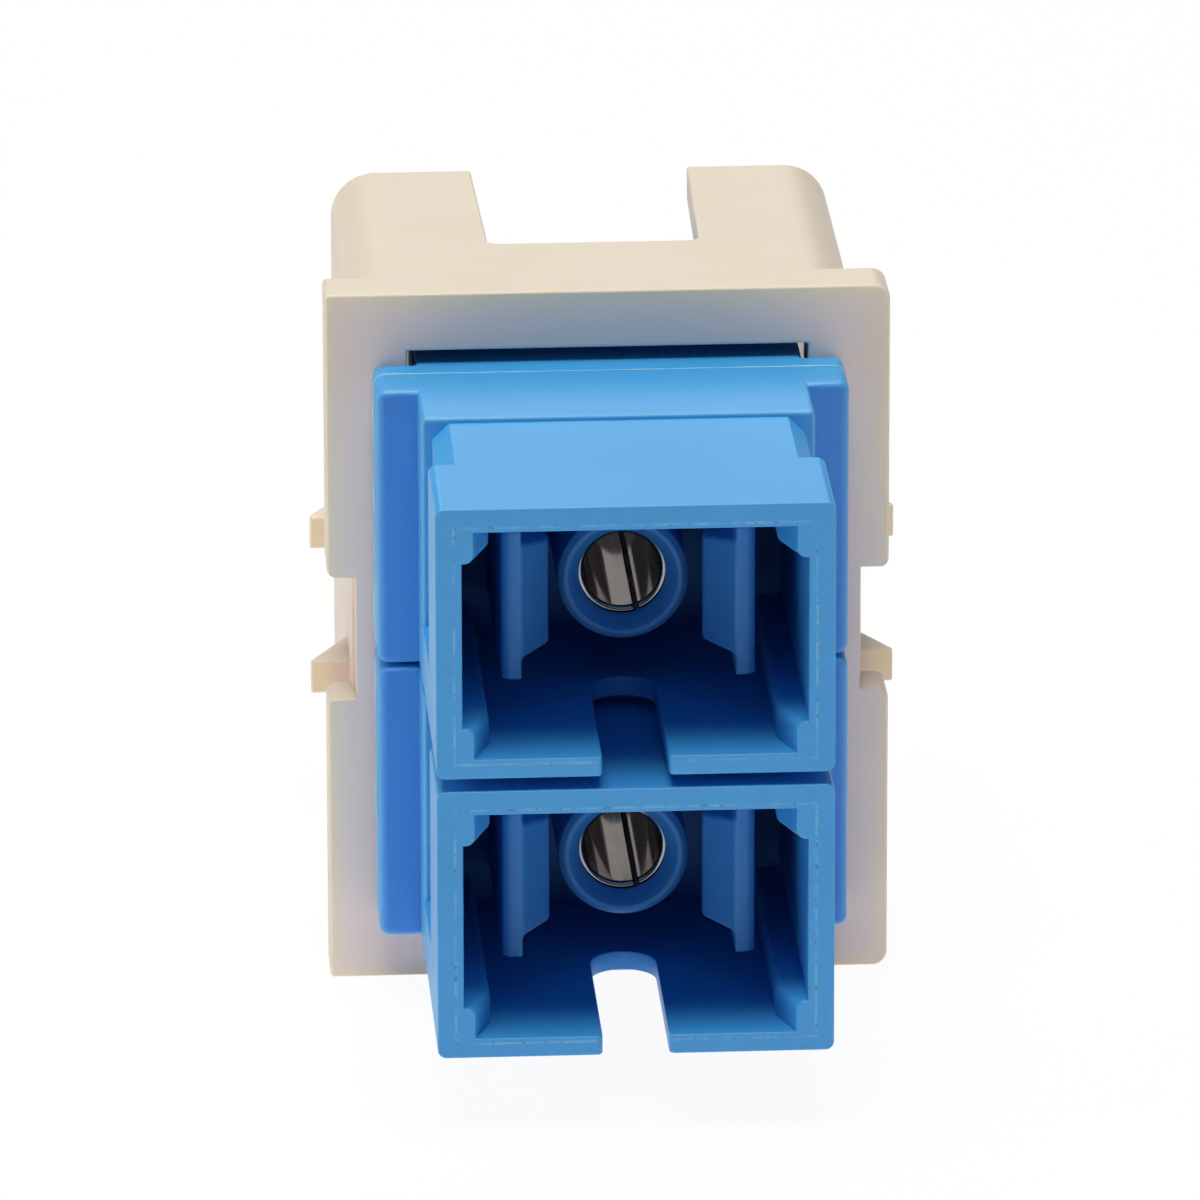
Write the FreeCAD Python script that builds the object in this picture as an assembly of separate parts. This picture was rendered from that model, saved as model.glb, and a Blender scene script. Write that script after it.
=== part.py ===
import FreeCAD, Part
import math
import os

# Fibre keystone jack: an ivory snap-in frame that carries two blue fibre adapters, one above the other.
# Millimetres. X is to the right and Z is up as seen from the plug side, and Y runs back into the wall.
# The origin is the middle of the frame plate's back face, where the wall plate bears.

V = FreeCAD.Vector

# Plug port of one adapter half
PORT_W = 11.1            # side wall to side wall
PORT_H = 7.65            # floor to roof
SIDE_WALL = 0.85
ROOF_WALL = 0.8
FLOOR_WALL = 0.65
RIB_H = 1.05             # corner guide ribs, measured down from the roof or up from the floor
RIB_REACH = 0.92         # from the side wall towards the middle
RIB_MOUTH_REACH = 0.36   # the same at the port's face, before the lead-in
RIB_ROUND = 0.3
LEAD_IN = 1.5            # length of the taper that guides the plug between the ribs
KEY_W = 2.15             # slot in the floor for the plug's key
KEY_LEN = 7.8
KEY_ROUND = 0.2          # front corners of the slot

# Outside of one adapter half, measured from the joint between the halves
FLANGE_FRONT = 1.8
FLANGE_BACK = 1.0
FLANGE_SIDE = 1.35       # flange beyond the body, each side
FLANGE_LIFT = 0.17       # flange and shoulder beyond the snout, top and bottom
SHOULDER_PAST = 1.88     # shoulder beyond the frame's plate
NECK_LEN = 4.29          # seat of the spring clip
COLLAR_LEN = 4.58
SEAT_INSET = 0.33        # depth of the clip seat in the side walls
SEAT_FLOOR = 2.3         # lower end of the clip seat, below the port's axis
NECK_CHAMFER = 0.55      # room for the clip's bends
FLANGE_ROUND = 0.35
SHOULDER_ROUND = 0.12
COLLAR_ROUND = 0.28
STACK_GAP = 0.1          # between the flanges of the two adapters

# Split sleeve that lines up the ferrules
FERRULE_BORE = 2.5
SLEEVE_WALL = 0.35
SLEEVE_LEN = 12.6
SLIT_W = 0.15
SLIT_ANGLE = 20.0        # degrees from straight down, to the right

# Latch moulding: base plate, half of the sleeve tube and two hooked arms
SLEEVE_FLOAT = 0.05      # radial play of the split sleeve
SLEEVE_END_PLAY = 0.1
TUBE_WALL = 0.48
TUBE_BEVEL = 0.2         # outer edge of the tube's mouth
LIP_LEN = 0.12           # narrow mouth in front of the sleeve
LIP_CLEARANCE = 0.16     # narrow mouth beyond the ferrule bore, radially
FUNNEL_LEN = 0.58        # funnel that leads the ferrule into the narrow mouth
FUNNEL_OPEN = 0.38       # how much wider the funnel is at its front, radially
BASE_T = 1.0
BASE_STEP = 0.3          # base plate beyond the port's walls, so that the shells trap it
BASE_CLEARANCE = 0.04
ARM_INNER = 3.46         # from the axis to the arm's inner face
ARM_T = 0.64
ARM_RISE = 2.65          # arm above the axis
ARM_DROP = 2.43          # and below it
ARM_TIP_ROUND = 0.2
HOOK_LEAD = 2.9          # arm tip in front of the tube's mouth
HOOK_REACH = 0.96
HOOK_RAMP = 1.6
HOOK_LAND = 0.6
HOOK_BACK = 0.3
HOOK_RISE = 2.15         # hook above the axis, at its root
HOOK_TIP_RISE = 1.8      # and at its nose
HOOK_DROP = 1.74         # hook below the axis

# Spring clip on the rear neck
CLIP_T = 0.25
CLIP_CLEARANCE = 0.03
CLIP_MARGIN = 0.06       # between the strap's edges and the ends of the neck
CLIP_LEG_LIFT = 0.2      # leg end above the floor of its seat
WING_H = 3.4
WING_CLEARANCE = 0.15    # wing tip to the sleeve's wall
WING_PLAY = 0.05         # wing tip to the plate's back face

# Frame: plate with a window, and the sleeve behind it
PLATE_T = 1.9
PLATE_RIM = 0.85         # plate beyond the sleeve, all round
PLATE_ROUND_LEFT = 0.15  # corners on the left of the front
PLATE_ROUND_RIGHT = 0.5
PLATE_EDGE = 0.1         # rounded front edge
WINDOW_SIDE_GAP = 0.2    # window beyond the adapters
WINDOW_END_GAP = 0.48
CLIP_LEDGE = 0.75        # plate beside the window that the clips catch
SLEEVE_SHELL = 1.1       # wall of the frame's sleeve
SLEEVE_CORNER = 1.5
SLEEVE_PAST = 3.85       # sleeve behind the adapters' rear ends
NOTCH_W = 7.03           # notch in the sleeve's top wall, at its closed end
NOTCH_LEN = 8.4
NOTCH_FLARE = 0.17       # wider at the open end, each side
NOTCH_ROUND = 0.35
SIDE_NOTCH_H = 4.3       # notches in the plate's side edges
SIDE_NOTCH_DEPTH = 0.95
SIDE_NOTCH_ROUND = 0.3
PANEL_T = 1.6            # wall plate held between the plate and the barbs
BARB_REACH = 1.28
BARB_H = 1.1
BARB_OFFSET = 2.55       # barb's middle above or below the jack's middle
BARB_LAND = 0.25
BARB_RAMP = 2.4

# Sizes that follow
PLUG_W = PORT_W - 2 * RIB_REACH
BODY_W = PORT_W + 2 * SIDE_WALL
SNOUT_H = PORT_H + ROOF_WALL + FLOOR_WALL
BODY_RISE = (ROOF_WALL - FLOOR_WALL) / 2
FLANGE_W = BODY_W + 2 * FLANGE_SIDE
FLANGE_H = SNOUT_H + 2 * FLANGE_LIFT
PITCH = FLANGE_H + STACK_GAP
JOINT_Y = -PLATE_T - FLANGE_BACK
SHOULDER_END = FLANGE_BACK + PLATE_T + SHOULDER_PAST
NECK_END = SHOULDER_END + NECK_LEN
HALF_LEN = NECK_END + COLLAR_LEN
SLEEVE_R = FERRULE_BORE / 2 + SLEEVE_WALL
TUBE_BORE_R = SLEEVE_R + SLEEVE_FLOAT
TUBE_R = TUBE_BORE_R + TUBE_WALL
SLEEVE_SEAT = SLEEVE_LEN / 2 + SLEEVE_END_PLAY
TUBE_END = SLEEVE_SEAT + LIP_LEN + FUNNEL_LEN
LIP_R = FERRULE_BORE / 2 + LIP_CLEARANCE
ARM_END = TUBE_END + HOOK_LEAD
WINDOW_W = BODY_W + 2 * WINDOW_SIDE_GAP
WINDOW_H = PITCH + FLANGE_H + 2 * WINDOW_END_GAP
BAY_W = WINDOW_W + 2 * CLIP_LEDGE
SLEEVE_W = BAY_W + 2 * SLEEVE_SHELL
SLEEVE_H = WINDOW_H + 2 * SLEEVE_SHELL
SLEEVE_REAR = JOINT_Y + HALF_LEN + SLEEVE_PAST
PLATE_W = SLEEVE_W + 2 * PLATE_RIM
PLATE_H = SLEEVE_H + 2 * PLATE_RIM

OVERLAP = 1.0            # how far a cutting shape runs past the face that it opens
SAME = 1e-6


def edges_along_y(solid):
    """Straight edges that run from front to back."""
    return [e for e in solid.Edges if abs(e.tangentAt(e.FirstParameter).y) > 1 - SAME]


def edges_on_plane(solid, y):
    """Edges that lie in the plane across Y."""
    return [e for e in solid.Edges if abs(e.BoundBox.YMin - y) < SAME and abs(e.BoundBox.YMax - y) < SAME]


def block(width, height, y_front, y_back):
    """Square-edged bar along Y, centred on the axis."""
    return Part.makeBox(width, y_back - y_front, height, V(-width / 2, y_front, -height / 2))


def rounded_block(width, height, radius, y_front, y_back):
    """Bar along Y with its four long edges rounded."""
    bar = block(width, height, y_front, y_back)
    return bar.makeFillet(radius, edges_along_y(bar))


def rod(radius, y_front, y_back):
    """Round bar along Y on the axis."""
    return Part.makeCylinder(radius, y_back - y_front, V(0, y_front, 0), V(0, 1, 0))


def drawn_up(points, drop, rise):
    """Outline of X, Y points, drawn along Z from below the axis to above it."""
    loop = [V(x, y, -drop) for x, y in points]
    return Part.Face(Part.makePolygon(loop + loop[:1])).extrude(V(0, 0, drop + rise))


def drawn_back(points, y_front, y_back):
    """Outline of X, Z points, drawn along Y."""
    loop = [V(x, y_front, z) for x, z in points]
    return Part.Face(Part.makePolygon(loop + loop[:1])).extrude(V(0, y_back - y_front, 0))


def mirrored_x(shape):
    return shape.mirror(V(0, 0, 0), V(1, 0, 0))


def turned_back(shape):
    """The same piece facing the other way, mirrored in the joint between the halves."""
    return shape.mirror(V(0, 0, 0), V(0, 1, 0))


def neck_core(grow, y_front, y_back):
    """The neck under the clip: narrow sides and bevelled top corners, grown evenly by a thickness."""
    half = BODY_W / 2 - SEAT_INSET + grow
    top = SNOUT_H / 2 + BODY_RISE + grow
    bevel = NECK_CHAMFER + grow * (2 - math.sqrt(2))
    outline = [
        (-half, -SEAT_FLOOR),
        (half, -SEAT_FLOOR),
        (half, top - bevel),
        (half - bevel, top),
        (bevel - half, top),
        (-half, top - bevel),
    ]
    return drawn_back(outline, y_front, y_back)


def clip_seat():
    """What is cut from the neck so that the clip's strap and legs lie in it."""
    height = SNOUT_H / 2 + BODY_RISE + SEAT_FLOOR + OVERLAP
    around = Part.makeBox(BODY_W + 2 * OVERLAP, NECK_LEN, height,
                          V(-BODY_W / 2 - OVERLAP, -NECK_END, -SEAT_FLOOR))
    return around.cut(neck_core(0, -NECK_END, -SHOULDER_END))


def port_section(channel_w, y_front, y_back):
    """Plug space between the corner ribs, with the side pockets for the latch arms."""
    pocket_h = PORT_H - 2 * RIB_H
    space = block(channel_w, PORT_H, y_front, y_back).fuse(block(PORT_W, pocket_h, y_front, y_back))
    space = space.removeSplitter()
    rib_corners = [e for e in edges_along_y(space)
                   if abs(abs(e.CenterOfMass.x) - channel_w / 2) < SAME
                   and abs(abs(e.CenterOfMass.z) - pocket_h / 2) < SAME]
    return space.makeFillet(RIB_ROUND, rib_corners)


def front_outline(solid, y):
    """Outline of the flat face that lies in the plane across Y."""
    boxes = [(face, face.BoundBox) for face in solid.Faces]
    return [face for face, box in boxes if box.YLength < SAME and abs(box.YMin - y) < SAME][0].OuterWire


def port_cavity():
    """Plug space with a tapered mouth, and the seat of the latch moulding's base plate at its inner end."""
    face = -HALF_LEN
    inner = face + LEAD_IN
    channel = port_section(PLUG_W, inner, 0)
    mouth = port_section(PORT_W - 2 * RIB_MOUTH_REACH, face, inner)
    taper = Part.makeLoft([front_outline(mouth, face), front_outline(channel, inner)], True, True)
    base_seat = block(PORT_W + 2 * BASE_STEP, PORT_H + 2 * BASE_STEP, -BASE_T, 0)
    return channel.fuse([taper, base_seat])


def key_slot():
    """Slot through the floor of the port with a round inner end and rounded front corners."""
    radius = KEY_W / 2
    mouth = radius + KEY_ROUND
    face = -HALF_LEN
    end_y = face + KEY_LEN - radius
    depth = FLOOR_WALL + 2 * OVERLAP
    low = -PORT_H / 2 - FLOOR_WALL - OVERLAP
    slot = Part.makeBox(KEY_W, KEY_LEN - radius, depth, V(-radius, face, low))
    slot = slot.fuse([Part.makeCylinder(radius, depth, V(0, end_y, low)),
                      Part.makeBox(2 * mouth, KEY_ROUND, depth, V(-mouth, face, low))])
    corners = [V(side * mouth, face + KEY_ROUND, low) for side in (-1, 1)]
    return slot.cut([Part.makeCylinder(KEY_ROUND, depth, corner) for corner in corners])


def half_shell(flange_t):
    """One half of the adapter's housing with its port towards -Y and its joint face on Y = 0."""
    flange = rounded_block(FLANGE_W, FLANGE_H, FLANGE_ROUND, -flange_t, 0)
    shoulder = rounded_block(BODY_W, FLANGE_H, SHOULDER_ROUND, -SHOULDER_END, 0)
    snout = rounded_block(BODY_W, SNOUT_H, COLLAR_ROUND, -HALF_LEN, 0)
    shell = flange.fuse([shoulder, snout]).removeSplitter().translated(V(0, 0, BODY_RISE))
    return shell.cut([clip_seat(), port_cavity(), key_slot()]).removeSplitter()


def latch_arm():
    """Right-hand latch arm: a flat spring with a ramped hook that holds the plug."""
    outer = ARM_INNER + ARM_T
    middle = ARM_INNER + ARM_T / 2
    tip = -ARM_END
    arm = drawn_up([(ARM_INNER, -BASE_T / 2), (ARM_INNER, tip), (outer - ARM_TIP_ROUND, tip),
                    (outer, tip + ARM_TIP_ROUND), (outer, -BASE_T / 2)], ARM_DROP, ARM_RISE)
    nose = ARM_INNER - HOOK_REACH
    land = tip + HOOK_RAMP
    back = land + HOOK_LAND
    side_view = drawn_up([(middle, tip), (ARM_INNER, tip), (nose, land), (nose, back),
                          (ARM_INNER, back + HOOK_BACK), (middle, back + HOOK_BACK)], HOOK_DROP, HOOK_RISE)
    front_view = drawn_back([(middle, -HOOK_DROP), (middle, HOOK_RISE), (ARM_INNER, HOOK_RISE),
                             (nose, HOOK_TIP_RISE), (nose, -HOOK_DROP)], tip, back + HOOK_BACK)
    return arm.fuse(side_view.common(front_view))


def latch_holder():
    """Base plate, sleeve tube and the two latch arms, moulded in one piece."""
    base = block(PORT_W + 2 * BASE_STEP - 2 * BASE_CLEARANCE, PORT_H + 2 * BASE_STEP - 2 * BASE_CLEARANCE,
                 BASE_CLEARANCE - BASE_T, 0)
    tube = rod(TUBE_R, -TUBE_END, 0)
    tube = tube.makeChamfer(TUBE_BEVEL, edges_on_plane(tube, -TUBE_END))
    arm = latch_arm()
    holder = base.fuse([tube, arm, mirrored_x(arm)]).removeSplitter()
    sleeve_seat = rod(TUBE_BORE_R, -SLEEVE_SEAT, OVERLAP)
    mouth = rod(LIP_R, -TUBE_END, 0)
    funnel = Part.makeCone(LIP_R + FUNNEL_OPEN, LIP_R, FUNNEL_LEN, V(0, -TUBE_END, 0), V(0, 1, 0))
    return holder.cut([sleeve_seat, mouth, funnel]).removeSplitter()


def split_sleeve():
    """Thin tube with one slit along it, so that it springs around the ferrules."""
    half = SLEEVE_LEN / 2
    tube = rod(SLEEVE_R, -half, half).cut(rod(FERRULE_BORE / 2, -half, half))
    slit = Part.makeBox(SLIT_W, SLEEVE_LEN, SLEEVE_R + OVERLAP, V(-SLIT_W / 2, -half, -SLEEVE_R - OVERLAP))
    slit.rotate(V(0, 0, 0), V(0, 1, 0), -SLIT_ANGLE)
    return tube.cut(slit)


def spring_clip():
    """Strap over the rear neck with a leg on each side, and a wing that flares out to the plate."""
    front = SHOULDER_END + CLIP_MARGIN
    rear = NECK_END - CLIP_MARGIN
    strap = neck_core(CLIP_CLEARANCE + CLIP_T, front, rear).cut(neck_core(CLIP_CLEARANCE, front, rear))
    leg_end = CLIP_LEG_LIFT - SEAT_FLOOR
    below = Part.makeBox(FLANGE_W, HALF_LEN, FLANGE_H, V(-FLANGE_W / 2, 0, leg_end - FLANGE_H))
    strap = strap.cut(below)
    leg_in = BODY_W / 2 - SEAT_INSET + CLIP_CLEARANCE
    leg_mid = leg_in + CLIP_T / 2
    tip_out = BAY_W / 2 - WING_CLEARANCE
    tip_y = WING_PLAY - JOINT_Y
    wing = drawn_up([(leg_mid, rear), (leg_mid + CLIP_T, rear), (tip_out, tip_y), (tip_out - CLIP_T, tip_y)],
                    WING_H / 2, WING_H / 2)
    return strap.fuse([wing, mirrored_x(wing)]).removeSplitter()


def side_notch():
    """Right-hand notch in the plate's edge, with rounded outer corners beside it."""
    edge = PLATE_W / 2
    r = SIDE_NOTCH_ROUND
    notch = Part.makeBox(SIDE_NOTCH_DEPTH + OVERLAP, PLATE_T, SIDE_NOTCH_H,
                         V(edge - SIDE_NOTCH_DEPTH, -PLATE_T, -SIDE_NOTCH_H / 2))
    for side in (-1, 1):
        square = Part.makeBox(r, PLATE_T, r, V(edge - r, -PLATE_T, side * (SIDE_NOTCH_H / 2 + r / 2) - r / 2))
        corner = V(edge - r, -PLATE_T, side * (SIDE_NOTCH_H / 2 + r))
        notch = notch.fuse(square.cut(Part.makeCylinder(r, PLATE_T, corner, V(0, 1, 0))))
    return notch


def snap_barb():
    """Right-hand barb: a catch face towards the plate and a ramp that runs out to the rear."""
    wall = SLEEVE_W / 2
    root = wall - SLEEVE_SHELL / 2
    tip = wall + BARB_REACH
    rear = PANEL_T + BARB_LAND
    return drawn_up([(root, PANEL_T), (tip, PANEL_T), (tip, rear), (wall, rear + BARB_RAMP),
                     (root, rear + BARB_RAMP)], BARB_H / 2, BARB_H / 2)


def top_notch():
    """Notch that runs in from the sleeve's rear end through its top wall and flares a little."""
    half = NOTCH_W / 2
    closed = SLEEVE_REAR - NOTCH_LEN
    wide = half + NOTCH_FLARE
    notch = drawn_up([(-half, closed), (half, closed), (wide, SLEEVE_REAR), (-wide, SLEEVE_REAR)],
                     SLEEVE_SHELL / 2 + OVERLAP, SLEEVE_SHELL / 2 + OVERLAP)
    upright = [e for e in notch.Edges
               if abs(e.tangentAt(e.FirstParameter).z) > 1 - SAME and abs(e.CenterOfMass.y - closed) < SAME]
    notch = notch.makeFillet(NOTCH_ROUND, upright)
    return notch.translated(V(0, 0, (SLEEVE_H - SLEEVE_SHELL) / 2))


def frame_housing():
    """Plate, window, sleeve and snap barbs, moulded in one piece."""
    plate = block(PLATE_W, PLATE_H, -PLATE_T, 0)
    for side, radius in ((-1, PLATE_ROUND_LEFT), (1, PLATE_ROUND_RIGHT)):
        plate = plate.makeFillet(radius, [e for e in edges_along_y(plate) if side * e.CenterOfMass.x > 0])
    plate = plate.makeFillet(PLATE_EDGE, edges_on_plane(plate, -PLATE_T))
    notch = side_notch()
    plate = plate.cut([notch, mirrored_x(notch)])
    sleeve = rounded_block(SLEEVE_W, SLEEVE_H, SLEEVE_CORNER, -PLATE_T / 2, SLEEVE_REAR)
    bay = rounded_block(BAY_W, WINDOW_H, SLEEVE_CORNER - SLEEVE_SHELL, 0, SLEEVE_REAR)
    window = block(WINDOW_W, WINDOW_H, -PLATE_T, 0)
    barbs = []
    for side in (-1, 1):
        barb = snap_barb().translated(V(0, 0, side * BARB_OFFSET))
        barbs += [barb, mirrored_x(barb)]
    frame = plate.fuse([sleeve] + barbs)
    return frame.cut([bay, window, top_notch()]).removeSplitter()


def adapter():
    """The pieces of one adapter, with the joint between its halves on Y = 0 and its axis on Z = 0."""
    return {
        "front_shell": half_shell(FLANGE_FRONT),
        "rear_shell": turned_back(half_shell(FLANGE_BACK)),
        "front_latch": latch_holder(),
        "rear_latch": turned_back(latch_holder()),
        "split_sleeve": split_sleeve(),
        "spring_clip": spring_clip(),
    }


def build():
    """Every node of the jack in its place."""
    nodes = {"frame_housing": frame_housing()}
    for row, side in (("upper", 1), ("lower", -1)):
        for name, shape in adapter().items():
            nodes[row + "_" + name] = shape.translated(V(0, JOINT_Y, side * PITCH / 2 - BODY_RISE))
    return nodes


os.makedirs("parts", exist_ok=True)
for node, solid in build().items():
    solid.exportStep("parts/" + node + ".step")
    box = solid.BoundBox
    print(f"{node}: {len(solid.Solids)} solid, valid {solid.isValid()}, {solid.Volume:.1f} mm3, "
          f"{box.XLength:.2f} by {box.YLength:.2f} by {box.ZLength:.2f} mm")
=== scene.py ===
# %% [markdown]
# Fibre keystone jack, dressed for a studio picture.
# The jack is an ivory snap-in frame that carries two blue fibre adapters, one above the other.
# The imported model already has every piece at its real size, so nothing is moved here. The lesson is about
# finish: rolled mould edges, satin skins, a springy metal sleeve and the thin bead of a welded joint.

# %% Load the frame
import math
from itertools import combinations

import bmesh
import bpy
from mathutils import Euler, Matrix, Vector
from mathutils.bvhtree import BVHTree
from mathutils.geometry import intersect_point_line


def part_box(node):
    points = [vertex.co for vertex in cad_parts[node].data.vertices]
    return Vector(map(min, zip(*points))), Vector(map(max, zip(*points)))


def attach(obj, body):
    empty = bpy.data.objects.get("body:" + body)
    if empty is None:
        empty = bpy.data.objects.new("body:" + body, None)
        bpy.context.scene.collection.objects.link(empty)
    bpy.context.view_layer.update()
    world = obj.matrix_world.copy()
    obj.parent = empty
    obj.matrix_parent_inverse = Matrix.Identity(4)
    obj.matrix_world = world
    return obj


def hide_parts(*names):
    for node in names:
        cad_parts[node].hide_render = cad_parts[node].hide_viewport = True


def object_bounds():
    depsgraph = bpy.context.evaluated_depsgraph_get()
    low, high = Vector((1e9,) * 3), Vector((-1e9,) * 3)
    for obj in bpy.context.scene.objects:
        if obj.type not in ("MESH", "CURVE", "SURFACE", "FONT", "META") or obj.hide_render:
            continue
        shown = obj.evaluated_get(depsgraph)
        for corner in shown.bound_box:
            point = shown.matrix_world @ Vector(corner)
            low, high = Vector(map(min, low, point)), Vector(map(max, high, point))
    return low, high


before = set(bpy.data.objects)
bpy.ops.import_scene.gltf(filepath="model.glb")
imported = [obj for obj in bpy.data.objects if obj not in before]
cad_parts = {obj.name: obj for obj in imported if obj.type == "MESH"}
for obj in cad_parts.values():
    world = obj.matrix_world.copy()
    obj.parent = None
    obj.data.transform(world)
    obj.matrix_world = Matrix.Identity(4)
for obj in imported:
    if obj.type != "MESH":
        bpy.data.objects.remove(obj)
cad_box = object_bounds()
MM = 0.001
BODY = "root"
print("pieces in the frame:", len(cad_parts))
print("box in mm:", [[round(c / MM, 2) for c in corner] for corner in cad_box])

# %% [markdown]
# The camera stands where the photographer stood: a long lens, a little to the left and above, so that the
# top faces show as a narrow band and the ports can be looked into. A long lens far away keeps the front and
# the back of the jack at nearly the same scale, which a short lens close by would not.

# %% Camera
CAMERA_AT = Vector((-24.2, -405.8, 139.4)) * MM
LOOKS_DOWN = math.radians(18.861)
LOOKS_RIGHT = math.radians(3.39)
LEANS = math.radians(-0.113)
SENSOR = 36.0
LENS = 387.93
CLIP_NEAR = 10 * MM
CLIP_FAR = 20.0

camera = bpy.data.objects.new("camera", bpy.data.cameras.new("camera"))
bpy.context.scene.collection.objects.link(camera)
camera.data.sensor_width = SENSOR
camera.data.lens = LENS
camera.data.clip_start = CLIP_NEAR
camera.data.clip_end = CLIP_FAR
turn = Euler((math.pi / 2 - LOOKS_DOWN, 0, -LOOKS_RIGHT)).to_matrix() @ Matrix.Rotation(LEANS, 3, "Z")
camera.matrix_world = Matrix.Translation(CAMERA_AT) @ turn.to_4x4()
bpy.context.scene.camera = camera
bpy.context.scene.view_settings.view_transform = "Standard"
print("camera to jack in mm:", round(CAMERA_AT.length / MM))

# %% [markdown]
# Shader and geometry trees are built from code, so one small helper adds a node, sets its options and feeds
# its sockets. A socket gets either a plain value or the output of another node.

# %% A helper for node trees
MIX_FACTOR, MIX_A, MIX_B, MIX_RESULT = 0, 6, 7, 2   # sockets of the Mix node for colours
MIX_FLOAT_A, MIX_FLOAT_B = 2, 3                      # and for plain values
NOISE_RANGE = (0.3, 0.7)                             # where nearly all of a noise lies


def put(tree, kind, sockets=None, **options):
    """Adds a node with its options, and fills sockets with plain values or with other nodes' outputs."""
    node = tree.nodes.new(kind)
    for name, value in options.items():
        setattr(node, name, value)
    for key, value in (sockets or {}).items():
        if isinstance(value, bpy.types.NodeSocket):
            tree.links.new(value, node.inputs[key])
        else:
            node.inputs[key].default_value = value
    return node


def math_node(tree, operation, first, second=0.0, clamp=False):
    return put(tree, "ShaderNodeMath", {0: first, 1: second}, operation=operation, use_clamp=clamp).outputs[0]


def mixed(tree, factor, first, second, blend="MIX"):
    """Two colours mixed by a factor."""
    sockets = {MIX_FACTOR: factor, MIX_A: first, MIX_B: second}
    return put(tree, "ShaderNodeMix", sockets, data_type="RGBA", blend_type=blend).outputs[MIX_RESULT]


def ranged(tree, value, low, high, to_low=0.0, to_high=1.0, ease="LINEAR"):
    """A value between low and high, spread over a new range and held at its ends."""
    sockets = {"Value": value, "From Min": low, "From Max": high, "To Min": to_low, "To Max": to_high}
    return put(tree, "ShaderNodeMapRange", sockets, interpolation_type=ease, clamp=True).outputs[0]


def place_of(tree, kind="Object"):
    """Coordinates of the shaded point, or its normal."""
    return put(tree, "ShaderNodeTexCoord").outputs[kind]


def axes_of(tree, vector):
    """A vector's X, Y and Z."""
    return put(tree, "ShaderNodeSeparateXYZ", {0: vector}).outputs


def colour(red, green, blue):
    return (red, green, blue, 1.0)


# %% [markdown]
# The picture is a product shot on white. Most of the light falls from a large panel overhead, so the tops
# are bright and the fronts live on what the table throws back. The table is a lit one, so it glows a little
# by itself. A side panel lifts the left flanks, and a low back panel lays a pale veil of gloss on the tops.
# To the camera, and in reflections, floor and backdrop show as white through the Light Path node, but a
# share of plain paint is left in the floor so that the jack still drops a soft shadow. The overhead light
# is a little warm and green, as tubes are, and what comes off the table is a little violet, which turns the
# shaded ivory grey.

# %% Floor and light
FLOOR_DROP = 0.02 * MM
FLOOR_HALF = 1.5
FLOOR_WHITE_SHARE = 0.94
FLOOR_PAINT = colour(0.95, 0.92, 0.96)
FLOOR_GLOW = 0.27
GLOW_TINT = colour(1.0, 0.96, 1.0)
PANEL_SIZE = 0.3
PANEL_FAR = 0.6
PANEL_UP = math.radians(82)
PANEL_ROUND = math.radians(-25)
PANEL_LEVEL = 0.87
PANEL_TINT = (0.99, 1.01, 0.88)
SIDE_SIZE = 0.4
SIDE_FAR = 0.7
SIDE_UP = math.radians(22)
SIDE_ROUND = math.radians(-97)
SIDE_LEVEL = 0.24
SIDE_TINT = (1.02, 0.99, 0.78)
BACK_SIZE = 0.3
BACK_FAR = 0.7
BACK_UP = math.radians(40)
BACK_ROUND = math.radians(180)
BACK_LEVEL = 0.18
BACK_TINT = (1.0, 0.98, 0.95)
SKY_TINT = colour(0.85, 0.95, 1.1)
SKY_LEVEL = 0.06
BACKDROP = colour(1.0, 1.0, 1.0)
HAZE_FROM, HAZE_TO = 0.42, 0.75   # height in the sky, as a sine, over which it turns from dim to white
HAZE_DIM = 0.06


def seen_directly(tree):
    """One for camera rays, and for rays that come off a shiny or a clear surface."""
    path = put(tree, "ShaderNodeLightPath")
    seen = math_node(tree, "ADD", path.outputs["Is Camera Ray"], path.outputs["Is Glossy Ray"], clamp=True)
    return math_node(tree, "ADD", seen, path.outputs["Is Transmission Ray"], clamp=True)


def studio_floor():
    mesh = bpy.data.meshes.new("floor")
    z = cad_box[0].z - FLOOR_DROP
    corners = [(-FLOOR_HALF, -FLOOR_HALF, z), (FLOOR_HALF, -FLOOR_HALF, z),
               (FLOOR_HALF, FLOOR_HALF, z), (-FLOOR_HALF, FLOOR_HALF, z)]
    mesh.from_pydata(corners, [], [(0, 1, 2, 3)])
    floor = bpy.data.objects.new("floor", mesh)
    bpy.context.scene.collection.objects.link(floor)
    paint = bpy.data.materials.new("floor_white")
    paint.use_nodes = True
    tree = paint.node_tree
    tree.nodes.clear()
    seen = seen_directly(tree)
    share = math_node(tree, "MULTIPLY", seen, FLOOR_WHITE_SHARE)
    matt = put(tree, "ShaderNodeBsdfDiffuse", {"Color": mixed(tree, seen, FLOOR_PAINT, BACKDROP)})
    white = put(tree, "ShaderNodeEmission", {"Strength": 1.0})
    both = put(tree, "ShaderNodeMixShader", {0: share, 1: matt.outputs[0], 2: white.outputs[0]})
    unseen = math_node(tree, "MULTIPLY", math_node(tree, "SUBTRACT", 1.0, seen), FLOOR_GLOW)
    glow = put(tree, "ShaderNodeEmission", {"Color": GLOW_TINT, "Strength": unseen})
    table = put(tree, "ShaderNodeAddShader", {0: both.outputs[0], 1: glow.outputs[0]})
    put(tree, "ShaderNodeOutputMaterial", {"Surface": table.outputs[0]})
    mesh.materials.append(paint)


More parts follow.
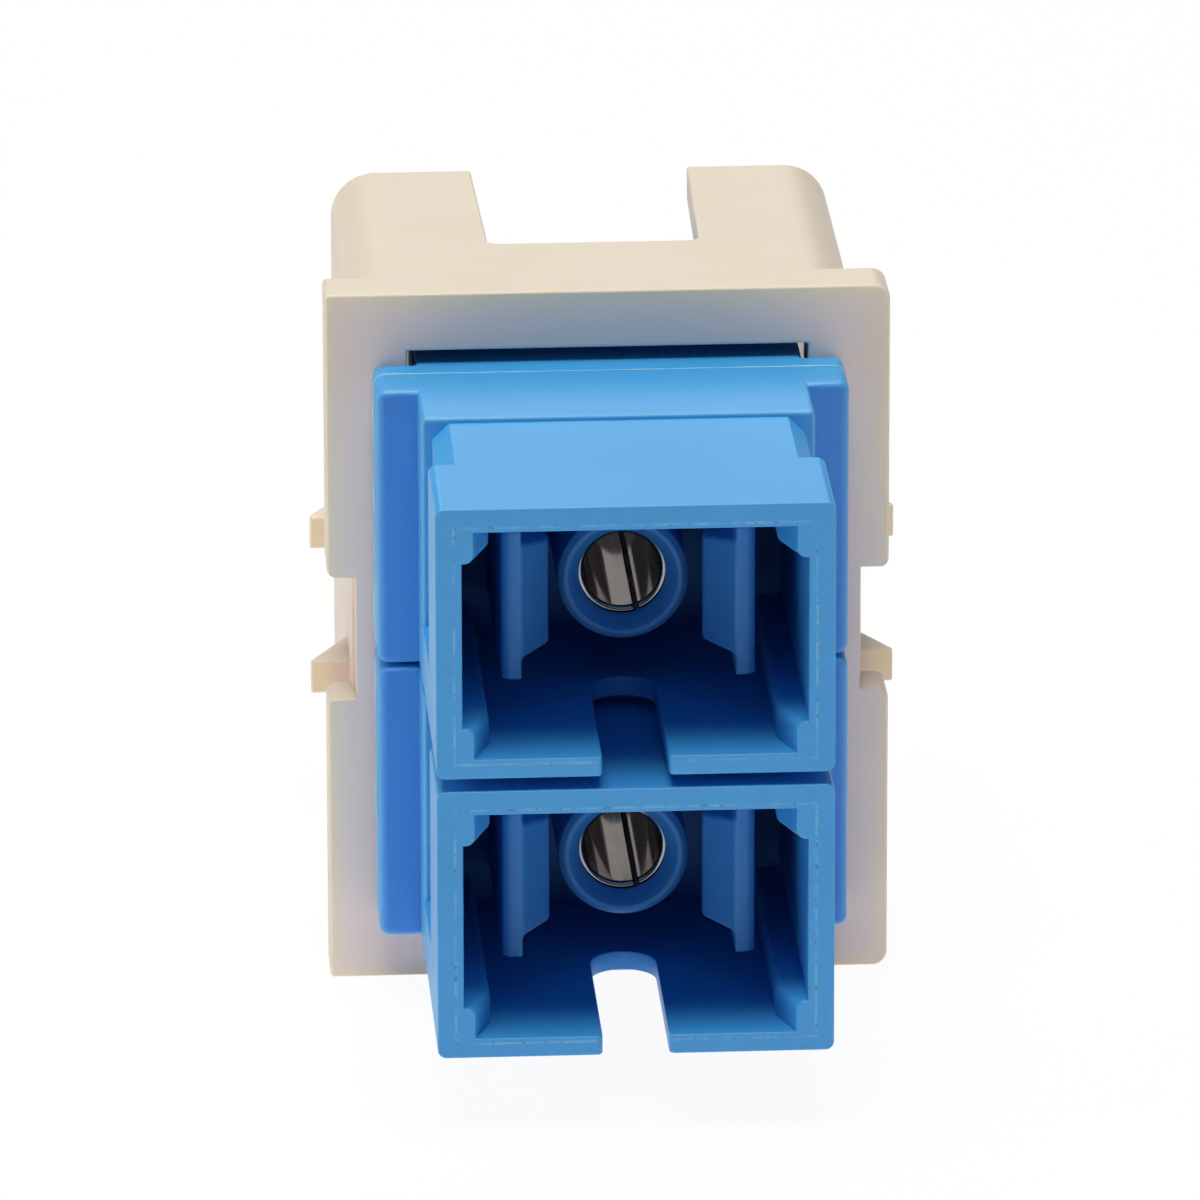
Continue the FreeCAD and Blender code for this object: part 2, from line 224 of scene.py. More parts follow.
def soft_panel(name, size, far, up, round_, level, tint):
    """A square panel that gives a surface facing it the stated level: at 1 a colour renders as written."""
    light = bpy.data.lights.new(name, "AREA")
    light.shape = "SQUARE"
    light.size = size
    light.energy = level * math.pi ** 2 * far ** 2
    light.color = tint
    lamp = bpy.data.objects.new(name, light)
    bpy.context.scene.collection.objects.link(lamp)
    back = Vector((math.sin(round_) * math.cos(up), -math.cos(round_) * math.cos(up), math.sin(up)))
    lamp.location = back * far
    lamp.rotation_euler = (-back).to_track_quat("-Z", "Y").to_euler()
    print(name, "power in watts:", round(light.energy, 2))


def soft_sky():
    world = bpy.data.worlds.new("soft_sky")
    bpy.context.scene.world = world
    world.use_nodes = True
    tree = world.node_tree
    ground = tree.nodes["Background"]
    seen = seen_directly(tree)
    way = axes_of(tree, place_of(tree, "Generated"))
    white = ranged(tree, way["Z"], HAZE_FROM, HAZE_TO, HAZE_DIM, 1.0, "SMOOTHSTEP")
    sockets = {MIX_FACTOR: seen, MIX_FLOAT_A: SKY_LEVEL, MIX_FLOAT_B: white}
    level = put(tree, "ShaderNodeMix", sockets, data_type="FLOAT").outputs[0]
    tree.links.new(mixed(tree, seen, SKY_TINT, BACKDROP), ground.inputs["Color"])
    tree.links.new(level, ground.inputs["Strength"])


studio_floor()
soft_panel("overhead_panel", PANEL_SIZE, PANEL_FAR, PANEL_UP, PANEL_ROUND, PANEL_LEVEL, PANEL_TINT)
soft_panel("side_panel", SIDE_SIZE, SIDE_FAR, SIDE_UP, SIDE_ROUND, SIDE_LEVEL, SIDE_TINT)
soft_panel("back_panel", BACK_SIZE, BACK_FAR, BACK_UP, BACK_ROUND, BACK_LEVEL, BACK_TINT)
soft_sky()

# %% [markdown]
# Moulded plastic is never one flat colour. The pigment drifts a little over several millimetres, the
# mould's spark-eroded skin leaves a fine grain, and thin rolled edges let light through and look paler,
# which is painted here as a paler glow and highlight on them. Each of these is one shader group that reads
# the piece's own coordinates, so the ivory and the blue share them with different values. Two more groups
# give masks for painted light and shade: a warm glow at the ivory plate's rim, another tone on its forward
# faces, and a deeper tone on the blue flange.

# %% Shader groups for moulded skins
EDGE_BREAK_RANGE = (0.35, 0.65)
SPECK_FADE = 0.03
LINE_FULL = 0.3                       # share of the core line's thickness at full strength
FACE_SKIN = (-0.03 * MM, -0.01 * MM)  # behind the port's face, where the line fades in
LINE_BREAK_SIZE = 0.7 * MM
LINE_BREAK_RANGE = (0.38, 0.62)
PIT_SIZE = 0.16 * MM
PIT_RANGE = (0.61, 0.68)
FLANGE_TURN = (0.5, 0.95)             # how squarely a face looks along Y to count as the flange's
FORWARD_TURN = (-0.9, -0.4)           # the same for faces that look forward
RIM_FALL = 5.0


def shader_group(name, inputs, outputs):
    """An empty shader group with float sockets: inputs are name and default value, outputs are names."""
    group = bpy.data.node_groups.new(name, "ShaderNodeTree")
    for label, default in inputs.items():
        socket = group.interface.new_socket(label, in_out="INPUT", socket_type="NodeSocketFloat")
        socket.default_value = default
    for label in outputs:
        group.interface.new_socket(label, in_out="OUTPUT", socket_type="NodeSocketFloat")
    return group, group.nodes.new("NodeGroupInput").outputs, group.nodes.new("NodeGroupOutput")


def noise_of_size(tree, place, size, detail=2.0, roughness=0.5):
    """Noise whose blobs are about as wide as the given size in metres."""
    scale = math_node(tree, "DIVIDE", 1.0, size)
    sockets = {"Vector": place, "Scale": scale, "Detail": detail, "Roughness": roughness}
    return put(tree, "ShaderNodeTexNoise", sockets).outputs["Fac"]


def moulded_grain_group():
    """Fine grain and slow colour drift."""
    tree, given, out = shader_group("moulded_grain", {"Grain Size": 0.1 * MM, "Drift Size": 6 * MM},
                                    ["Grain", "Drift"])
    place = place_of(tree)
    tree.links.new(noise_of_size(tree, place, given["Grain Size"], 3.0, 0.6), out.inputs["Grain"])
    drift = noise_of_size(tree, place, given["Drift Size"], 3.0, 0.55)
    tree.links.new(ranged(tree, drift, *NOISE_RANGE), out.inputs["Drift"])
    return tree


def rolled_edge_group():
    """How much a point lies on an outward rolled edge, broken up unevenly along it: the mask for the painted
    edge glow and highlight.
    """
    tree, given, out = shader_group("rolled_edge", {"Breakup Size": 0.8 * MM, "Breakup": 0.5}, ["Mask"])
    edge = put(tree, "ShaderNodeAttribute", attribute_name="edge").outputs["Fac"]
    place = place_of(tree)
    uneven = ranged(tree, noise_of_size(tree, place, given["Breakup Size"]), *EDGE_BREAK_RANGE)
    kept = math_node(tree, "SUBTRACT", 1.0, math_node(tree, "MULTIPLY", uneven, given["Breakup"]))
    tree.links.new(math_node(tree, "MULTIPLY", edge, kept, clamp=True), out.inputs["Mask"])
    return tree


def specks_group():
    """Small scattered specks of dust and pigment."""
    tree, given, out = shader_group("specks", {"Spacing": 1.5 * MM, "Size": 0.05}, ["Mask"])
    place = place_of(tree)
    scale = math_node(tree, "DIVIDE", 1.0, given["Spacing"])
    cells = put(tree, "ShaderNodeTexVoronoi", {"Vector": place, "Scale": scale})
    own_size = math_node(tree, "MULTIPLY", cells.outputs["Color"], given["Size"])
    inside = math_node(tree, "SUBTRACT", own_size, cells.outputs["Distance"])
    tree.links.new(ranged(tree, inside, 0.0, SPECK_FADE), out.inputs["Mask"])
    return tree


def core_line_group():
    """The thin, uneven line that the mould's core leaves round each port's mouth, and a mask of the flange's
    faces for painted shade.
    """
    tree, given, out = shader_group("core_line", {
        "Half Width": 5.0 * MM, "Half Height": 3.0 * MM, "Pitch": 9.0 * MM, "Axis Drop": 0.0, "Joint Y": 0.0,
        "Face From Joint": 10.0 * MM, "Flange Depth": 2.0 * MM, "Thickness": 0.03 * MM},
        ["Line", "Pits", "Flange"])
    place = place_of(tree)
    at = axes_of(tree, place)
    half_pitch = math_node(tree, "DIVIDE", given["Pitch"], 2.0)
    middle = math_node(tree, "MULTIPLY", math_node(tree, "SIGN", at["Z"]), half_pitch)
    axis = math_node(tree, "SUBTRACT", middle, given["Axis Drop"])
    up = math_node(tree, "ABSOLUTE", math_node(tree, "SUBTRACT", at["Z"], axis))
    beyond = math_node(tree, "MAXIMUM",
                       math_node(tree, "SUBTRACT", math_node(tree, "ABSOLUTE", at["X"]), given["Half Width"]),
                       math_node(tree, "SUBTRACT", up, given["Half Height"]))
    near = math_node(tree, "DIVIDE", math_node(tree, "ABSOLUTE", beyond), given["Thickness"])
    line = ranged(tree, near, LINE_FULL, 1.0, 1.0, 0.0, "SMOOTHSTEP")
    depth = math_node(tree, "ABSOLUTE", math_node(tree, "SUBTRACT", at["Y"], given["Joint Y"]))
    ahead = math_node(tree, "SUBTRACT", depth, given["Face From Joint"])
    line = math_node(tree, "MULTIPLY", line, ranged(tree, ahead, *FACE_SKIN))
    kept = ranged(tree, noise_of_size(tree, place, LINE_BREAK_SIZE, 3.0), *LINE_BREAK_RANGE)
    tree.links.new(math_node(tree, "MULTIPLY", line, kept), out.inputs["Line"])
    pits = ranged(tree, noise_of_size(tree, place, PIT_SIZE), *PIT_RANGE)
    tree.links.new(math_node(tree, "MULTIPLY", line, pits), out.inputs["Pits"])
    # A mask of the flange's faces, for the painted shade there.
    facing = math_node(tree, "ABSOLUTE", axes_of(tree, place_of(tree, "Normal"))["Y"])
    behind = math_node(tree, "LESS_THAN", depth, given["Flange Depth"])
    flange = math_node(tree, "MULTIPLY", behind, ranged(tree, facing, *FLANGE_TURN))
    tree.links.new(flange, out.inputs["Flange"])
    return tree


def painted_light_masks_group():
    """Masks for painted light: how near a point lies to the rim of a plate round the Y axis, and whether it
    looks forward.
    """
    tree, given, out = shader_group("painted_light_masks", {
        "Half Width": 5.0 * MM, "Half Height": 5.0 * MM, "Depth": 2.0 * MM}, ["Mask", "Face"])
    place = place_of(tree)
    at = axes_of(tree, place)
    side = math_node(tree, "SUBTRACT", given["Half Width"], math_node(tree, "ABSOLUTE", at["X"]))
    top = math_node(tree, "SUBTRACT", given["Half Height"], math_node(tree, "ABSOLUTE", at["Z"]))
    inwards = math_node(tree, "DIVIDE", math_node(tree, "MINIMUM", side, top), given["Depth"])
    near = math_node(tree, "POWER", ranged(tree, inwards, 0.0, 1.0, 1.0, 0.0), RIM_FALL)
    facing = axes_of(tree, place_of(tree, "Normal"))["Y"]
    ahead = ranged(tree, facing, *FORWARD_TURN, 1.0, 0.0)
    tree.links.new(math_node(tree, "MULTIPLY", near, ahead), out.inputs["Mask"])
    tree.links.new(ahead, out.inputs["Face"])
    return tree


GRAIN = moulded_grain_group()
PAINTED_LIGHT_MASKS = painted_light_masks_group()
EDGE = rolled_edge_group()
SPECKS = specks_group()
CORE_LINE = core_line_group()
print("shader groups:", GRAIN.name, PAINTED_LIGHT_MASKS.name, EDGE.name, SPECKS.name, CORE_LINE.name)

# %% [markdown]
# One function builds both plastics from these groups, because they differ only in colour and values. The
# colour goes from a body tone to a deeper one with the drift, the grain lightens and darkens it slightly,
# rolled edges are painted paler as a glow and highlight, and specks darken it. The grain also goes into a
# bump and the roughness, which is what breaks a highlight up into satin.

# %% Moulded plastics
DRIFT_SIZE = 6 * MM
EDGE_BREAK_SIZE = 0.9 * MM
EDGE_BREAK = 0.45
SPECK_SPACING = 1.7 * MM
SPECK_SIZE = 0.045
SPECK_SHARE = 0.5
ROUGHNESS_SPREAD = 0.05
GRAIN_HEIGHT = 0.01 * MM
PLASTIC_IOR = 1.5


def use_group(tree, group, **values):
    """Places a shader group with its own values; underscores stand for spaces."""
    node = put(tree, "ShaderNodeGroup", node_tree=group)
    for label, value in values.items():
        node.inputs[label.replace("_", " ")].default_value = value
    return node.outputs


def moulded_plastic(name, body, deep, pale, speck, roughness, grain_size, grain_tone, bump, edge_glow_share,
                    gloss=0.5, marks=None):
    """A satin moulded plastic. Its own marks and painted light, if it has any, are added to the tone by a
    function.
    """
    material = bpy.data.materials.new(name)
    material.use_nodes = True
    tree = material.node_tree
    skin = tree.nodes["Principled BSDF"]
    grain = use_group(tree, GRAIN, Grain_Size=grain_size, Drift_Size=DRIFT_SIZE)
    edge = use_group(tree, EDGE, Breakup_Size=EDGE_BREAK_SIZE, Breakup=EDGE_BREAK)["Mask"]
    dots = use_group(tree, SPECKS, Spacing=SPECK_SPACING, Size=SPECK_SIZE)["Mask"]
    tone = mixed(tree, grain["Drift"], body, deep)
    light = ranged(tree, grain["Grain"], *NOISE_RANGE, 1 - grain_tone, 1 + grain_tone)
    shade = put(tree, "ShaderNodeCombineColor", {0: light, 1: light, 2: light}).outputs[0]
    tone = mixed(tree, 1.0, tone, shade, blend="MULTIPLY")
    # Painted glow and highlight: rolled edges turn paler.
    tone = mixed(tree, math_node(tree, "MULTIPLY", edge, edge_glow_share), tone, pale)
    tone = mixed(tree, math_node(tree, "MULTIPLY", dots, SPECK_SHARE), tone, speck)
    if marks:
        tone = marks(tree, tone)
    rough = ranged(tree, grain["Grain"], *NOISE_RANGE, roughness - ROUGHNESS_SPREAD,
                   roughness + ROUGHNESS_SPREAD)
    relief = put(tree, "ShaderNodeBump", {"Height": grain["Grain"], "Strength": bump,
                                          "Distance": GRAIN_HEIGHT})
    tree.links.new(tone, skin.inputs["Base Color"])
    tree.links.new(rough, skin.inputs["Roughness"])
    tree.links.new(relief.outputs[0], skin.inputs["Normal"])
    skin.inputs["IOR"].default_value = PLASTIC_IOR
    skin.inputs["Specular IOR Level"].default_value = gloss
    return material


JOINT_Y = -2.9 * MM
HALF_LENGTH = 13.65 * MM
PITCH = 9.54 * MM
AXIS_DROP = 0.075 * MM
CORE_HALF_WIDTH = 5.81 * MM
CORE_HALF_HEIGHT = 3.99 * MM
PLATE_HALF_WIDTH = 9.3 * MM
PLATE_TOP = 11.92 * MM
PLATE_RIM_DEPTH = 3.0 * MM
# Painted light on the ivory: a warm glow at the plate's rim and a paler tone on faces that look forward.
RIM_GLOW_SHARE, RIM_GLOW_TONE = 0.9, colour(0.98, 0.82, 0.58)
FRONT_LIGHT_SHARE, FRONT_LIGHT_TONE = 0.7, colour(0.97, 0.78, 0.76)
FLANGE_DEPTH = 2.2 * MM
# Painted shade: a deeper tone multiplied onto the flange's faces.
FLANGE_SHADE_TONE = colour(0.86, 0.77, 0.96)
LINE_THICKNESS = 0.06 * MM
LINE_SHARE, LINE_TONE = 0.5, colour(0.24, 0.58, 0.86)
PIT_SHARE, PIT_TONE = 0.7, colour(0.03, 0.12, 0.28)


def plate_painted_light(tree, tone):
    """Painted light: a paler tone on ivory that looks forward, and a warmer painted glow at the plate's rim.
    """
    glow = use_group(tree, PAINTED_LIGHT_MASKS, Half_Width=PLATE_HALF_WIDTH, Half_Height=PLATE_TOP, Depth=PLATE_RIM_DEPTH)
    tone = mixed(tree, math_node(tree, "MULTIPLY", glow["Face"], FRONT_LIGHT_SHARE), tone, FRONT_LIGHT_TONE)
    return mixed(tree, math_node(tree, "MULTIPLY", glow["Mask"], RIM_GLOW_SHARE), tone, RIM_GLOW_TONE)


def port_marks_and_flange_shade(tree, tone):
    """Painted shade as a deeper tone on the flange's faces, and the core's broken line and pits round the
    port.
    """
    core = use_group(tree, CORE_LINE, Half_Width=CORE_HALF_WIDTH, Half_Height=CORE_HALF_HEIGHT, Pitch=PITCH,
                     Axis_Drop=AXIS_DROP, Joint_Y=JOINT_Y, Face_From_Joint=HALF_LENGTH,
                     Flange_Depth=FLANGE_DEPTH, Thickness=LINE_THICKNESS)
    tone = mixed(tree, core["Flange"], tone, FLANGE_SHADE_TONE, blend="MULTIPLY")
    tone = mixed(tree, math_node(tree, "MULTIPLY", core["Line"], LINE_SHARE), tone, LINE_TONE)
    return mixed(tree, math_node(tree, "MULTIPLY", core["Pits"], PIT_SHARE), tone, PIT_TONE)


ivory = moulded_plastic(
    "ivory_plastic", body=colour(0.75, 0.65, 0.585), deep=colour(0.72, 0.61, 0.545),
    pale=colour(0.86, 0.70, 0.44), speck=colour(0.38, 0.30, 0.22), roughness=0.48, grain_size=0.09 * MM,
    grain_tone=0.02, bump=0.25, edge_glow_share=0.7, marks=plate_painted_light)
blue = moulded_plastic(
    "blue_plastic", body=colour(0.053, 0.357, 0.81), deep=colour(0.047, 0.335, 0.78),
    pale=colour(0.15, 0.49, 0.84), speck=colour(0.02, 0.10, 0.25), roughness=0.42, grain_size=0.07 * MM,
    grain_tone=0.06, bump=0.3, edge_glow_share=0.6, marks=port_marks_and_flange_shade)
# The latches' darker blue is painted shade: a shaded copy of the blue plastic.
latch_blue_shaded = moulded_plastic(
    "latch_plastic", body=colour(0.048, 0.245, 0.61), deep=colour(0.043, 0.225, 0.57),
    pale=colour(0.10, 0.35, 0.70), speck=colour(0.02, 0.10, 0.25), roughness=0.45, grain_size=0.07 * MM,
    grain_tone=0.03, bump=0.25, edge_glow_share=0.5, gloss=0.3)
print("plastics:", ivory.name, blue.name, latch_blue_shaded.name)

# %% [markdown]
# The split sleeve is drawn from spring bronze and the clips are rolled from spring steel. Both show fine
# lines along the way they were drawn or rolled. Noise that is stretched along one axis gives those lines,
# in the roughness and in a shallow bump, without any picture.

# %% Drawn metals
METAL_DRIFT = 2.5 * MM
LINE_DETAIL = 4.0
ROUGHNESS_SWING = 0.4   # how far the lines move the roughness up and down, as a share of it
LINE_BUMP = 0.2
LINE_HEIGHT = 0.005 * MM


def drawn_metal(name, body, deep, roughness, stretch):
    """A bare metal with lines along the axis that the stretch leaves long."""
    material = bpy.data.materials.new(name)
    material.use_nodes = True
    tree = material.node_tree
    skin = tree.nodes["Principled BSDF"]
    place = place_of(tree)
    along = put(tree, "ShaderNodeMapping", {"Vector": place, "Scale": stretch}).outputs[0]
    sockets = {"Vector": along, "Scale": 1.0, "Detail": LINE_DETAIL}
    lines = put(tree, "ShaderNodeTexNoise", sockets).outputs["Fac"]
    drift = use_group(tree, GRAIN, Drift_Size=METAL_DRIFT)["Drift"]
    tone = mixed(tree, drift, body, deep)
    rough = ranged(tree, lines, *NOISE_RANGE, (1 - ROUGHNESS_SWING) * roughness,
                   (1 + ROUGHNESS_SWING) * roughness)
    relief = put(tree, "ShaderNodeBump", {"Height": lines, "Strength": LINE_BUMP,
                                          "Distance": LINE_HEIGHT})
    tree.links.new(tone, skin.inputs["Base Color"])
    tree.links.new(rough, skin.inputs["Roughness"])
    tree.links.new(relief.outputs[0], skin.inputs["Normal"])
    skin.inputs["Metallic"].default_value = 1.0
    return material


ACROSS_LINES = 14000.0
ALONG_LINES = 250.0
sleeve_bronze = drawn_metal("sleeve_metal", colour(0.385, 0.36, 0.35), colour(0.33, 0.305, 0.30), 0.08,
                            (ACROSS_LINES, ALONG_LINES, ACROSS_LINES))
clip_steel = drawn_metal("clip_steel", colour(0.60, 0.60, 0.59), colour(0.52, 0.52, 0.51), 0.26,
                         (ALONG_LINES, ACROSS_LINES, ACROSS_LINES))
print("metals:", sleeve_bronze.name, clip_steel.name)

# %% [markdown]
# A mould never leaves a razor edge, so each rigid piece is a copy of its exact solid with its sharp edges
# rolled over. The copy is welded and its flat facets are joined first, or the roll would follow every
# triangle. Edges that run on into each other form a rim and share one roll, because a roll that changes its
# width along the way leaves spikes. Where a roll would break out of the solid, that rim is rolled less and
# the piece is made again. The curvature along the rolls is stored as an attribute called edge, for the
# paler edges, which are a painted glow and highlight.

# %% Rolling the edges of a solid
WELD = 0.002 * MM
SHARP = math.radians(28)
FLAT = math.radians(1)
CREASE = math.radians(40)
EDGE_GAIN = 3.0
ROOM = 2.4           # a face has to be this much wider than the roll on its edge
PLAIN_ROLL = 0.17 * MM
STRAY = 0.75         # share of the roll, at most the plain one, that a sound corner stays within
REACH = 1.2          # how far from a stray corner the edges are rolled less, in the same rolls
LEAST = 0.15         # a share below this is not worth rolling
SLIVER = 1e-5 * MM * MM
RUNS_ON = -math.cos(math.radians(35))   # edges that turn less than this belong to one rim
FOLDED = -0.3        # cosine between a facet and the solid under which it is folded over
TRIES = 8
EVEN_WEIGHT = 100


def curvature(vertex):
    """Above zero where the surface bends away from its normal, as on an outer edge."""
    bends = [vertex.normal.dot((e.other_vert(vertex).co - vertex.co).normalized()) for e in vertex.link_edges]
    return -sum(bends) / len(bends)


def off_segment(point, start, end):
    """Distance from a point to a straight edge."""
    share = intersect_point_line(point, start, end)[1]
    return (point - start.lerp(end, min(1.0, max(0.0, share)))).length


def bevelled(shape, shares, roll, segments):
    """A mesh with each edge rolled by its share. Its second material slot marks the rolled faces."""
    mesh = bpy.data.meshes.new("rolling")
    shape.to_mesh(mesh)
    weights = mesh.attributes.new("bevel_weight_edge", "FLOAT", "EDGE")
    for index, share in shares.items():
        weights.data[index].value = share
    worker = bpy.data.objects.new("rolling", mesh)
    bpy.context.scene.collection.objects.link(worker)
    for _ in range(2):
        mesh.materials.append(None)
    step = worker.modifiers.new("roll", "BEVEL")
    step.limit_method = "WEIGHT"
    step.width = roll
    step.segments = segments
    step.use_clamp_overlap = False
    step.material = 1
    ready = worker.evaluated_get(bpy.context.evaluated_depsgraph_get())
    result = bpy.data.meshes.new_from_object(ready)
    bpy.data.objects.remove(worker)
    bpy.data.meshes.remove(mesh)
    return result


def stray_corners(mesh, solid, allowed):
    """Corners that left the solid's surface, and the middles of faces that were folded over."""
    found = [v.co.copy() for v in mesh.vertices if solid.find_nearest(v.co)[3] > allowed]
    mesh.calc_loop_triangles()
    for facet in mesh.loop_triangles:
        if facet.area > SLIVER:
            middle = Vector(facet.center)
            normal, away = solid.find_nearest(middle)[1::2]
            if away > allowed or facet.normal.dot(normal) < FOLDED:
                found.append(middle)
    return found


def cut_into_cells(shape, cuts):
    """Cuts a solid's skin along planes, so that no flat face is left to run round a window."""
    for axis, at in cuts:
        skin = shape.verts[:] + shape.edges[:] + shape.faces[:]
        made = bmesh.ops.bisect_plane(shape, geom=skin, dist=WELD, plane_co=axis * at, plane_no=axis)
        for item in made["geom_cut"]:
            if isinstance(item, bmesh.types.BMEdge):
                item.seam = True


def rims(shape, indices):
    """Groups the edges that run on into each other, because a roll has to keep its width along a rim."""
    leader = {index: index for index in indices}

    def first_of(index):
        while leader[index] != index:
            index = leader[index]
        return index

    for vertex in shape.verts:
        meeting = [edge for edge in vertex.link_edges if edge.index in leader]
        for one, other in combinations(meeting, 2):
            ways = [(edge.other_vert(vertex).co - vertex.co).normalized() for edge in (one, other)]
            if ways[0].dot(ways[1]) < RUNS_ON:
                leader[first_of(one.index)] = first_of(other.index)
    return {index: first_of(index) for index in leader}


def welded(node, cuts, before):
    """A node's solid, welded and with its flat facets joined. A function may change it first."""
    shape = bmesh.new()
    shape.from_mesh(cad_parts[node].data)
    bmesh.ops.remove_doubles(shape, verts=shape.verts, dist=WELD)
    if before:
        before(shape)
        bmesh.ops.remove_doubles(shape, verts=shape.verts, dist=WELD)
    cut_into_cells(shape, cuts)
    bmesh.ops.dissolve_limit(shape, angle_limit=FLAT, verts=shape.verts, edges=shape.edges, delimit={"SEAM"})
    shape.edges.index_update()
    return shape


def wanted_shares(shape, roll, share_of):
    """Each sharp edge's share of the roll, held to the room it has, and the edge's two ends."""
    shares, ends = {}, {}
    for edge in shape.edges:
        if edge.is_manifold and edge.calc_face_angle(0.0) > SHARP:
            start, end = (v.co.copy() for v in edge.verts)
            width = min(face.calc_area() for face in edge.link_faces) / edge.calc_length()
            wanted = share_of((start + end) / 2, edge.is_convex) if share_of else 1.0
            shares[edge.index] = min(wanted, width / (ROOM * roll))
            ends[edge.index] = (start, end)
    return shares, ends


def rolled_mesh(shape, roll, segments, share_of):
    """Rolls the rims, and rolls less where one breaks out of the solid. Counts tries and stray corners."""
    solid = BVHTree.FromBMesh(shape)
    shares, ends = wanted_shares(shape, roll, share_of)
    rim_of = rims(shape, shares)
    rim_share = {}
    for index, rim in rim_of.items():
        rim_share[rim] = min(rim_share.get(rim, 1.0), shares[index])
    fine = min(roll, PLAIN_ROLL)
    for attempt in range(TRIES):
        shares = {index: rim_share[rim] for index, rim in rim_of.items()}
        mesh = bevelled(shape, shares, roll, segments)
        stray = stray_corners(mesh, solid, STRAY * fine)
        if not stray or attempt == TRIES - 1:
            break
        at_fault = {rim_of[index] for index, (start, end) in ends.items()
                    if any(off_segment(point, start, end) < REACH * fine for point in stray)}
        for rim in at_fault:
            rim_share[rim] = rim_share[rim] / 2 if rim_share[rim] > LEAST else 0.0
        bpy.data.meshes.remove(mesh)
    return mesh, attempt + 1, len(stray)


def mark_rolls(mesh):
    """Smooths the faces up to the creases, and stores the curvature along the rolls."""
    finished = bmesh.new()
    finished.from_mesh(mesh)
    finished.normal_update()
    layer = finished.loops.layers.float.new("edge")
    for edge in finished.edges:
        edge.smooth = edge.calc_face_angle(0.0) < CREASE
    for face in finished.faces:
        face.smooth = True
        if face.material_index == 1:
            for loop in face.loops:
                loop[layer] = min(1.0, max(0.0, EDGE_GAIN * curvature(loop.vert)))
        face.material_index = 0
    finished.to_mesh(mesh)
    finished.free()


def even_normals(piece, keep_sharp):
    """Lets the large faces set the normals, so that flat faces look flat beside a roll."""
    even = piece.modifiers.new("even_normals", "WEIGHTED_NORMAL")
    even.weight = EVEN_WEIGHT
    even.keep_sharp = keep_sharp


def rolled_copy(node, roll, segments, material, share_of=None, cuts=(), before=None):
    """A copy of a solid with rolled edges that stands for it."""
    shape = welded(node, cuts, before)
    mesh, tries, strays = rolled_mesh(shape, roll, segments, share_of)
    shape.free()
    mark_rolls(mesh)
    mesh.name = node + "_rolled"
    mesh.materials.clear()
    mesh.materials.append(material)
    piece = bpy.data.objects.new(node + "_rolled", mesh)
    bpy.context.scene.collection.objects.link(piece)
    even_normals(piece, keep_sharp=True)
    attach(piece, BODY)
    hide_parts(node)
    print(piece.name, "faces:", len(mesh.polygons), "tries:", tries, "stray corners:", strays)


print("plain roll in mm:", round(PLAIN_ROLL / MM, 2), "tries at most:", TRIES)

# %% [markdown]
# Each edge has its own share of its piece's roll. On the shells the flange's rim is softest, outer edges
# are plain, edges in the port and on the neck are crisp, and inner corners stay sharp. The small rounds
# that the solids have on the shoulder are squared first, because a roll can't start cleanly where a round
# runs out.

# %% Pieces with rolled edges
SHELL_ROLL = 0.28 * MM
RIM_X = 6.1 * MM
RIM_Z = 4.3 * MM
BODY_HALF_WIDTH = 6.4 * MM
PORT_HALF_HEIGHT = 3.825 * MM
FLANGE_FRONT = 1.8 * MM
FLANGE_BACK = 1.0 * MM
SHOULDER_END = 4.78 * MM
NECK_END = 9.07 * MM
SHOULDER_HALF_HEIGHT = 4.72 * MM
SHOULDER_ROUND = 0.12 * MM
NEAR = 0.05 * MM
ROUND_REACH = 1.1 * SHOULDER_ROUND   # the rounds and a little more
PLAIN_SHARE = PLAIN_ROLL / SHELL_ROLL
CRISP_SHARE = 0.18
JOINT_SHARE = 0.3
COLLAR_ROUND_FROM = 4.1 * MM   # below the axis, where the shoulder's step starts to run out
POCKET_DEPTH = 1.5 * MM        # of the hidden seat of the latch


def square_shoulder(shape):
    """Takes the small rounds off the shoulder's long edges, so that they are rolled with the rest."""
    for vertex in shape.verts:
        middle = math.copysign(PITCH / 2, vertex.co.z)
        ahead = abs(vertex.co.y - JOINT_Y)
        from_side = BODY_HALF_WIDTH - abs(vertex.co.x)
        from_end = SHOULDER_HALF_HEIGHT - abs(vertex.co.z - middle)
        along = FLANGE_BACK - NEAR < ahead < SHOULDER_END + NEAR
        if along and -NEAR < from_side < ROUND_REACH and from_end < ROUND_REACH:
            vertex.co.x = math.copysign(BODY_HALF_WIDTH, vertex.co.x)
            vertex.co.z = middle + math.copysign(SHOULDER_HALF_HEIGHT, vertex.co.z - middle)


def shell_share(middle, outward):
    """Full roll on the flange, plain outside and on the floor's lip, crisp in the port and on the neck."""
    ahead = abs(middle.y - JOINT_Y)
    axis = math.copysign(PITCH / 2, middle.z) - AXIS_DROP
    beside = abs(middle.x) > RIM_X
    above = abs(abs(middle.z) - PITCH / 2) > RIM_Z
    floor_lip = abs(middle.z - axis + PORT_HALF_HEIGHT) < NEAR
    below = middle.z - axis < -COLLAR_ROUND_FROM
    inside = not (beside or above) and ahead < POCKET_DEPTH
    if not outward or inside or (below and abs(ahead - SHOULDER_END) < NEAR):
        return 0.0
    if ahead < NEAR:
        return JOINT_SHARE
    if abs(ahead - FLANGE_FRONT) < NEAR and abs(middle.x) > BODY_HALF_WIDTH:
        return 1.0
    if SHOULDER_END + NEAR < ahead < NECK_END - NEAR:
        return CRISP_SHARE
    return PLAIN_SHARE if beside or above or floor_lip else CRISP_SHARE


MOUTH_AT = 6.4 * MM
INNER_SHARE = 0.4


def latch_share(middle, outward):
    """Full roll on the tips of the arms and the mouth of the tube, and less elsewhere."""
    return 1.0 if abs(middle.y - JOINT_Y) > MOUTH_AT else INNER_SHARE


